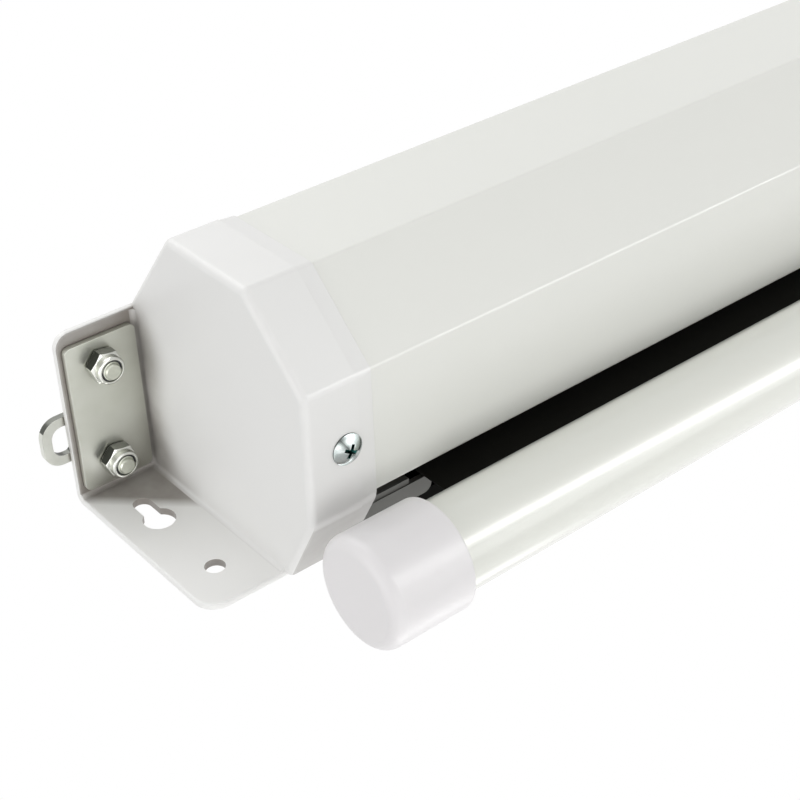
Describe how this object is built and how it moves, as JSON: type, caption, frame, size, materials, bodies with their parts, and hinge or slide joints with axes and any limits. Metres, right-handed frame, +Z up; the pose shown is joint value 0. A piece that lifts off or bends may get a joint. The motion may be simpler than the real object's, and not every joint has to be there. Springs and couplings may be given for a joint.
{
  "type": "projector screen",
  "caption": "Pull-down projector screen: faceted white housing with moulded end caps, wall flanges and hanging eyes, black fabric on a spring roller, round weight bar with a pull handle.",
  "frame": {"origin": "on the back of the left wall flange, where it lies on the wall, between its keyhole and its round hole", "axes": "+X along the housing from the left end to the right end as seen by the viewer, +Y into the wall, +Z up to the ceiling"},
  "size_m": [1.9134, 0.076, 0.1486],
  "materials": {
    "white_paint": "smooth satin white powder coat",
    "white_plastic": "moulded, satin",
    "grey_plastic": "moulded, satin",
    "nylon": "moulded, natural",
    "zinc_plate": "dull zinc plating",
    "bright_steel": "bright zinc plating",
    "black_cloth": "matt black coated cloth"
  },
  "bodies": {
    "housing": {"casing": "white_paint", "cap_left": "white_plastic", "cap_right": "white_plastic", "insert_left": "white_plastic", "insert_right": "white_plastic", "cap_screw_left": "bright_steel", "cap_screw_right": "bright_steel", "backing_plate_left": "zinc_plate", "backing_plate_right": "zinc_plate", "eye_plate_left": "zinc_plate", "eye_plate_right": "zinc_plate", "bolt_left_front": "bright_steel", "bolt_left_rear": "bright_steel", "bolt_right_front": "bright_steel", "bolt_right_rear": "bright_steel", "nut_left_front": "bright_steel", "nut_left_rear": "bright_steel", "nut_right_front": "bright_steel", "nut_right_rear": "bright_steel", "idle_bush": "nylon", "spade_shaft": "bright_steel", "ratchet_disc": "bright_steel", "torsion_spring": "bright_steel"},
    "roller": {"roller_tube": "bright_steel", "fabric_roll": "black_cloth", "idle_plug": "grey_plastic", "idle_pin": "bright_steel", "ratchet_plug": "grey_plastic", "spring_anchor": "grey_plastic", "pawl_pin_upper": "bright_steel", "pawl_pin_lower": "bright_steel"},
    "pawl_upper": {"pawl_upper": "bright_steel"},
    "pawl_lower": {"pawl_lower": "bright_steel"},
    "weight_bar": {"fabric_drop": "black_cloth", "bar_tube": "white_paint", "hem_rod": "bright_steel", "bar_cap_left": "white_plastic", "bar_cap_right": "white_plastic", "handle_saddle": "grey_plastic", "handle_screw_left": "bright_steel", "handle_screw_right": "bright_steel"},
    "bail": {"handle_bail": "bright_steel"}
  },
  "joints": [
    {"name": "screen_drop", "type": "slide", "parent": "housing", "child": "weight_bar", "axis": [0, 0, -1], "range_m": [0, 1.44], "stiffness_N_per_m": 24, "springref_m": -1, "deforming": ["fabric_drop"]},
    {"name": "roller_spin", "type": "hinge", "parent": "housing", "child": "roller", "pos_m": [0.9392, -0.04095, -0.001], "axis": [-1, 0, 0], "range_deg": [0, 3600]},
    {"name": "pawl_upper_swing", "type": "hinge", "parent": "roller", "child": "pawl_upper", "pos_m": [1.8458, -0.02845, 0.0056], "axis": [1, 0, 0], "range_deg": [0, 22]},
    {"name": "pawl_lower_swing", "type": "hinge", "parent": "roller", "child": "pawl_lower", "pos_m": [1.8458, -0.05345, -0.0076], "axis": [1, 0, 0], "range_deg": [0, 22]},
    {"name": "bail_swing", "type": "hinge", "parent": "weight_bar", "child": "bail", "pos_m": [0.9392, -0.01545, -0.07175], "axis": [1, 0, 0], "range_deg": [-80, 80]}
  ],
  "couplings": [
    {"joint": "roller_spin", "follows": "screen_drop", "rad_per_m": 43.633}
  ]
}
